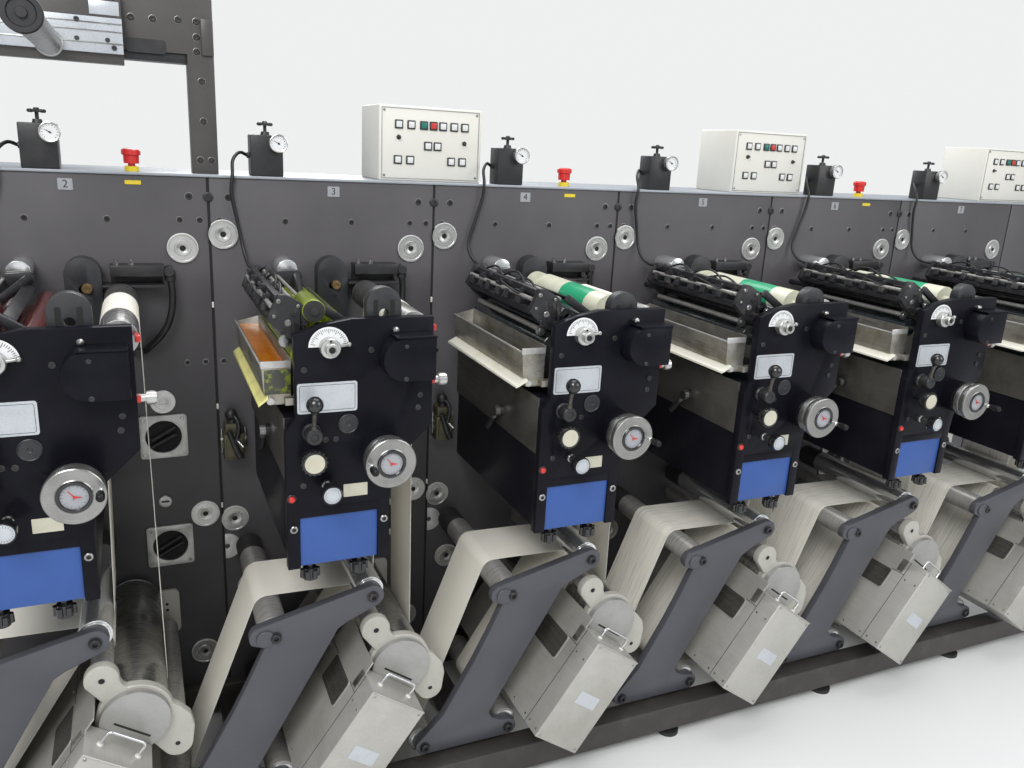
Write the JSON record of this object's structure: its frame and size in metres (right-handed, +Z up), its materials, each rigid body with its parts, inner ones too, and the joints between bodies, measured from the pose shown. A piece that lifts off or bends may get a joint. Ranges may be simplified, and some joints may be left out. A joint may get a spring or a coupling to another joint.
{
  "type": "offset printing press",
  "caption": "Row of narrow web offset printing units on a long machine wall, with lamp units, web rollers, handwheels, control boxes and a paper web.",
  "frame": {"origin": "on the floor, under the middle of the machine's bounding box", "axes": "+X along the row, from the entry end to the exit end; -Y towards the operator; +Z up"},
  "size_m": [3.8, 0.97, 1.844],
  "materials": {
    "rail_paint": "dark grey-brown paint",
    "foot_black": "black",
    "wall_paint": "dark warm grey, fine texture",
    "turned_aluminium": "turned",
    "flange_white": "off-white",
    "shelf_paint": "pale blue-grey",
    "panel_grey": "grey",
    "unit_black": "semi-gloss black",
    "bearing_black": "dark oxide",
    "stainless": "brushed",
    "blue_paint": "blue",
    "dial_white": "satin with white scale",
    "knob_black": "black",
    "cylinder_steel": "ground",
    "ink_frame_black": "black, worn",
    "ink_rubber": "ink stained",
    "fountain_steel": "ink stained",
    "polished_steel": "polished",
    "bracket_black": "black",
    "connector_olive": "olive grey",
    "arm_paint": "grey-violet",
    "roller_steel": "grey",
    "casting_white": "off-white",
    "lamp_aluminium": "satin sheet",
    "paper": "white paper",
    "box_white": "off-white",
    "button_mixed": "mixed colours",
    "gantry_black": "black",
    "stop_yellow": "yellow",
    "stop_red": "red",
    "handwheel_aluminium": "turned",
    "hose_black": "black",
    "plate_polymer": "printing plate"
  },
  "bodies": {
    "machine": {"base_rails": "rail_paint", "cross_members": "rail_paint", "levelling_feet": "foot_black", "wall_plates": "wall_paint", "wall_caps": "turned_aluminium", "cable_flanges": "flange_white", "top_shelf": "shelf_paint", "rear_panels": "panel_grey", "end_panels": "panel_grey", "unit_front_plates": "unit_black", "cylinder_bearings": "bearing_black", "unit_bodies": "unit_black", "unit_side_panels": "stainless", "blue_panels": "blue_paint", "side_covers": "unit_black", "scale_dials": "dial_white", "unit_knobs": "knob_black", "side_levers": "cylinder_steel", "impression_cylinders": "cylinder_steel", "ink_frames": "ink_frame_black", "ink_rollers": "ink_rubber", "ink_fountains": "fountain_steel", "wall_brackets": "bracket_black", "connectors": "connector_olive", "arm_plates": "arm_paint", "web_rollers": "roller_steel", "chrome_rollers": "polished_steel", "lamp_castings": "casting_white", "lamp_covers": "lamp_aluminium", "cooling_drums": "cylinder_steel", "lamp_rollers": "roller_steel", "lamp_boxes": "lamp_aluminium", "lamp_handles": "polished_steel", "paper_web": "paper", "control_boxes": "box_white", "control_buttons": "button_mixed", "regulators": "bracket_black", "gantry_frame": "gantry_black", "gantry_roller": "cylinder_steel", "stop_bases": "stop_yellow", "air_hoses": "hose_black"},
    "handwheel_1": {"handwheel_1": "handwheel_aluminium"},
    "throw_lever_1": {"throw_lever_1": "knob_black"},
    "handwheel_2": {"handwheel_2": "handwheel_aluminium"},
    "throw_lever_2": {"throw_lever_2": "knob_black"},
    "handwheel_3": {"handwheel_3": "handwheel_aluminium"},
    "throw_lever_3": {"throw_lever_3": "knob_black"},
    "handwheel_4": {"handwheel_4": "handwheel_aluminium"},
    "throw_lever_4": {"throw_lever_4": "knob_black"},
    "handwheel_5": {"handwheel_5": "handwheel_aluminium"},
    "throw_lever_5": {"throw_lever_5": "knob_black"},
    "handwheel_6": {"handwheel_6": "handwheel_aluminium"},
    "throw_lever_6": {"throw_lever_6": "knob_black"},
    "plate_cylinder_3": {"plate_cylinder_3": "plate_polymer"},
    "plate_cylinder_4": {"plate_cylinder_4": "plate_polymer"},
    "plate_cylinder_5": {"plate_cylinder_5": "plate_polymer"},
    "plate_cylinder_6": {"plate_cylinder_6": "plate_polymer"},
    "stop_head_1": {"stop_head_1": "stop_red"},
    "stop_head_2": {"stop_head_2": "stop_red"},
    "stop_head_3": {"stop_head_3": "stop_red"}
  },
  "joints": [
    {"name": "handwheel_1_turn", "type": "hinge", "parent": "machine", "child": "handwheel_1", "pos_m": [-1.406, -0.375, 0.94], "axis": [0, -1, 0], "continuous": true},
    {"name": "throw_lever_1_swing", "type": "hinge", "parent": "machine", "child": "throw_lever_1", "pos_m": [-1.548, -0.375, 0.993], "axis": [0, -1, 0], "range_deg": [0, 90]},
    {"name": "handwheel_2_turn", "type": "hinge", "parent": "machine", "child": "handwheel_2", "pos_m": [-0.846, -0.375, 0.94], "axis": [0, -1, 0], "continuous": true},
    {"name": "throw_lever_2_swing", "type": "hinge", "parent": "machine", "child": "throw_lever_2", "pos_m": [-0.988, -0.375, 0.993], "axis": [0, -1, 0], "range_deg": [0, 90]},
    {"name": "handwheel_3_turn", "type": "hinge", "parent": "machine", "child": "handwheel_3", "pos_m": [-0.286, -0.375, 0.94], "axis": [0, -1, 0], "continuous": true},
    {"name": "throw_lever_3_swing", "type": "hinge", "parent": "machine", "child": "throw_lever_3", "pos_m": [-0.428, -0.375, 0.993], "axis": [0, -1, 0], "range_deg": [0, 90]},
    {"name": "handwheel_4_turn", "type": "hinge", "parent": "machine", "child": "handwheel_4", "pos_m": [0.274, -0.375, 0.94], "axis": [0, -1, 0], "continuous": true},
    {"name": "throw_lever_4_swing", "type": "hinge", "parent": "machine", "child": "throw_lever_4", "pos_m": [0.132, -0.375, 0.993], "axis": [0, -1, 0], "range_deg": [0, 90]},
    {"name": "handwheel_5_turn", "type": "hinge", "parent": "machine", "child": "handwheel_5", "pos_m": [0.834, -0.375, 0.94], "axis": [0, -1, 0], "continuous": true},
    {"name": "throw_lever_5_swing", "type": "hinge", "parent": "machine", "child": "throw_lever_5", "pos_m": [0.692, -0.375, 0.993], "axis": [0, -1, 0], "range_deg": [0, 90]},
    {"name": "handwheel_6_turn", "type": "hinge", "parent": "machine", "child": "handwheel_6", "pos_m": [1.394, -0.375, 0.94], "axis": [0, -1, 0], "continuous": true},
    {"name": "throw_lever_6_swing", "type": "hinge", "parent": "machine", "child": "throw_lever_6", "pos_m": [1.252, -0.375, 0.993], "axis": [0, -1, 0], "range_deg": [0, 90]},
    {"name": "plate_cylinder_3_turn", "type": "hinge", "parent": "machine", "child": "plate_cylinder_3", "pos_m": [-0.276, -0.115, 1.2], "axis": [0, -1, 0], "continuous": true},
    {"name": "plate_cylinder_4_turn", "type": "hinge", "parent": "machine", "child": "plate_cylinder_4", "pos_m": [0.284, -0.115, 1.2], "axis": [0, -1, 0], "continuous": true},
    {"name": "plate_cylinder_5_turn", "type": "hinge", "parent": "machine", "child": "plate_cylinder_5", "pos_m": [0.844, -0.115, 1.2], "axis": [0, -1, 0], "continuous": true},
    {"name": "plate_cylinder_6_turn", "type": "hinge", "parent": "machine", "child": "plate_cylinder_6", "pos_m": [1.404, -0.115, 1.2], "axis": [0, -1, 0], "continuous": true},
    {"name": "stop_head_1_press", "type": "slide", "parent": "machine", "child": "stop_head_1", "axis": [0, 0, -1], "range_m": [0, 0.005]},
    {"name": "stop_head_2_press", "type": "slide", "parent": "machine", "child": "stop_head_2", "axis": [0, 0, -1], "range_m": [0, 0.005]},
    {"name": "stop_head_3_press", "type": "slide", "parent": "machine", "child": "stop_head_3", "axis": [0, 0, -1], "range_m": [0, 0.005]}
  ],
  "couplings": [
    {"joint": "plate_cylinder_4_turn", "follows": "plate_cylinder_3_turn", "ratio": 1},
    {"joint": "plate_cylinder_5_turn", "follows": "plate_cylinder_3_turn", "ratio": 1},
    {"joint": "plate_cylinder_6_turn", "follows": "plate_cylinder_3_turn", "ratio": 1}
  ]
}
